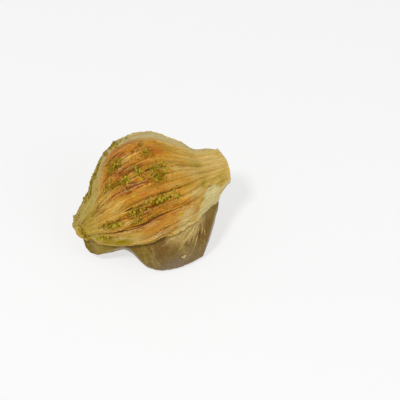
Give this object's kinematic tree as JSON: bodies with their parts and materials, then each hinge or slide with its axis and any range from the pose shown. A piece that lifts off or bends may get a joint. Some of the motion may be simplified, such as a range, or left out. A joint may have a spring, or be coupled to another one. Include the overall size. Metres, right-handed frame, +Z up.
{
  "type": "baklava piece",
  "caption": "Mussel-shaped baklava piece: thin pleated filo leaves fanned over a filled lower leaf, pinched at both ends and strewn with ground nuts.",
  "frame": {"origin": "on the surface the piece stands on, under the middle of its outline", "axes": "+X from the flat pinched tip towards the gathered tail, +Y to the back, away from the side where the filled leaf shows most, +Z up"},
  "size_m": [0.0732, 0.0597, 0.0492],
  "materials": {
    "filo_leaf": "baked filo dough, golden to orange-brown with paler dry edges, brushed with butter and wet with syrup",
    "syrup_soaked_leaf": "thin soft leaf of dough soaked in syrup, half see-through over a dark nut and cream filling, glossy",
    "ground_pistachio": "coarsely ground pistachio, bright to yellow green, dull and grainy"
  },
  "bodies": {
    "root": {"pleated_fan": "filo_leaf", "filled_belly": "syrup_soaked_leaf"}
  },
  "joints": []
}
